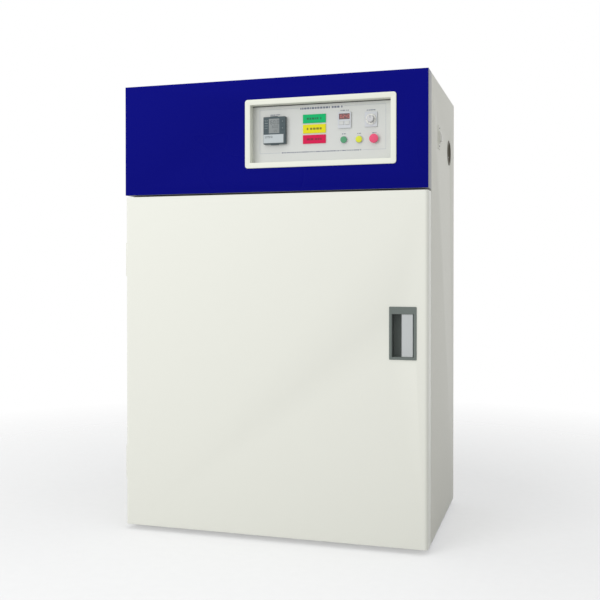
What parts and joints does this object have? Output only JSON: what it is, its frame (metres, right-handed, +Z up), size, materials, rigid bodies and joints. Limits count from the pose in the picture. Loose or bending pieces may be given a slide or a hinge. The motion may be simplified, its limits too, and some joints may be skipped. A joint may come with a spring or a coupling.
{
  "type": "environmental test chamber",
  "caption": "Insulated cabinet with a hinged full-width door, fan-stirred heated chamber, wire shelves, and a raised header with controller, lamps, timer and push buttons.",
  "frame": {"origin": "on the floor, under the middle of the cabinet", "axes": "+X to the right across the front, +Y from the door to the rear, +Z up"},
  "size_m": [1.0297, 0.658, 1.458],
  "materials": {
    "blue_paint": "semi-gloss",
    "white_paint": "semi-gloss",
    "ivory_paint": "fine texture",
    "zinc_steel": "zinc plated",
    "stainless": "brushed",
    "bright_metal": "satin",
    "cast_alloy": "cast",
    "fan_alloy": "satin",
    "mineral_wool": "fibrous",
    "seal_rubber": "matte",
    "black_plastic": "matte",
    "frame_plastic": "satin",
    "panel_plastic": "satin",
    "grey_plastic": "satin",
    "pale_plastic": "satin",
    "slate_plastic": "satin",
    "display_glass": "glossy",
    "dark_display": "glossy",
    "lamp_green": "glossy",
    "lamp_yellow": "glossy",
    "lamp_red": "glossy",
    "push_green": "glossy",
    "push_yellow": "glossy",
    "push_red": "glossy"
  },
  "bodies": {
    "cabinet": {"side_panel_left": "ivory_paint", "side_panel_right": "ivory_paint", "top_cover": "ivory_paint", "base_pan": "zinc_steel", "front_frame": "ivory_paint", "rear_panel": "ivory_paint", "cable_gland": "black_plastic", "levelling_feet": "zinc_steel", "chamber_liner": "stainless", "insulation": "mineral_wool", "bay_floor": "zinc_steel", "side_baffles": "stainless", "plenum_plate": "stainless", "shelf_uprights": "stainless", "wire_shelves": "stainless", "fan_motor": "cast_alloy", "heater_element": "stainless", "temperature_probe": "stainless", "exhaust_duct": "zinc_steel", "side_vent": "black_plastic", "bay_components": "slate_plastic", "header_shell": "ivory_paint", "header_fascia": "blue_paint", "panel_bezel": "frame_plastic", "control_panel": "panel_plastic", "controller_case": "slate_plastic", "controller_display": "display_glass", "controller_cover": "pale_plastic", "counter_case": "pale_plastic", "counter_display": "dark_display", "lamp_housings": "black_plastic", "lamp_lens_green": "lamp_green", "lamp_lens_yellow": "lamp_yellow", "lamp_lens_red": "lamp_red", "timer_case": "pale_plastic", "button_bodies": "bright_metal", "switch_housing": "black_plastic", "strike_plate": "zinc_steel", "cabinet_hinge_leaves": "zinc_steel", "hinge_pins": "bright_metal"},
    "door": {"door_skin": "white_paint", "door_liner": "stainless", "door_insulation": "mineral_wool", "door_gasket": "seal_rubber", "handle_cup": "grey_plastic", "paddle_pin": "bright_metal", "door_hinge_leaves": "zinc_steel"},
    "paddle": {"handle_paddle": "bright_metal"},
    "bolt": {"latch_bolt": "zinc_steel"},
    "fan": {"fan_wheel": "fan_alloy", "fan_shaft": "bright_metal"},
    "green_cap": {"button_green": "push_green"},
    "yellow_cap": {"button_yellow": "push_yellow"},
    "red_cap": {"button_red": "push_red"},
    "knob": {"timer_knob": "bright_metal"},
    "rocker": {"mains_rocker": "pale_plastic"},
    "controller_key_upper": {"controller_key_1": "slate_plastic"},
    "controller_key_lower": {"controller_key_2": "slate_plastic"},
    "counter_key_left": {"counter_key_1": "pale_plastic"},
    "counter_key_right": {"counter_key_2": "pale_plastic"}
  },
  "joints": [
    {"name": "door_hinge", "type": "hinge", "parent": "cabinet", "child": "door", "pos_m": [-0.51, -0.258, 0.5], "axis": [0, 0, -1], "range_deg": [0, 150]},
    {"name": "paddle_hinge", "type": "hinge", "parent": "door", "child": "paddle", "pos_m": [0.4512, -0.315, 0.6654], "axis": [0, 0, 1], "range_deg": [0, 25], "stiffness_Nm_per_rad": 0.4},
    {"name": "latch_slide", "type": "slide", "parent": "door", "child": "bolt", "axis": [-1, 0, 0], "range_m": [0, 0.0167]},
    {"name": "fan_spin", "type": "hinge", "parent": "cabinet", "child": "fan", "pos_m": [0, 0.002, 1], "axis": [0, 0, 1], "continuous": true},
    {"name": "green_button", "type": "slide", "parent": "cabinet", "child": "green_cap", "axis": [0, 1, 0], "range_m": [0, 0.0035], "stiffness_N_per_m": 500},
    {"name": "yellow_button", "type": "slide", "parent": "cabinet", "child": "yellow_cap", "axis": [0, 1, 0], "range_m": [0, 0.0035], "stiffness_N_per_m": 500},
    {"name": "red_button", "type": "slide", "parent": "cabinet", "child": "red_cap", "axis": [0, 1, 0], "range_m": [0, 0.0035], "stiffness_N_per_m": 500},
    {"name": "timer_dial", "type": "hinge", "parent": "cabinet", "child": "knob", "pos_m": [0.3205, -0.296, 1.3178], "axis": [0, 1, 0], "range_deg": [0, 300]},
    {"name": "mains_switch", "type": "hinge", "parent": "cabinet", "child": "rocker", "pos_m": [0.4985, -0.088, 1.2845], "axis": [0, 1, 0], "range_deg": [0, 16]},
    {"name": "controller_key_upper_press", "type": "slide", "parent": "cabinet", "child": "controller_key_upper", "axis": [0, 1, 0], "range_m": [0, 0.0008], "stiffness_N_per_m": 1000},
    {"name": "controller_key_lower_press", "type": "slide", "parent": "cabinet", "child": "controller_key_lower", "axis": [0, 1, 0], "range_m": [0, 0.0008], "stiffness_N_per_m": 1000},
    {"name": "counter_key_left_press", "type": "slide", "parent": "cabinet", "child": "counter_key_left", "axis": [0, 1, 0], "range_m": [0, 0.0008], "stiffness_N_per_m": 1000},
    {"name": "counter_key_right_press", "type": "slide", "parent": "cabinet", "child": "counter_key_right", "axis": [0, 1, 0], "range_m": [0, 0.0008], "stiffness_N_per_m": 1000}
  ],
  "couplings": [
    {"joint": "latch_slide", "follows": "paddle_hinge", "m_per_rad": 0.03825}
  ]
}
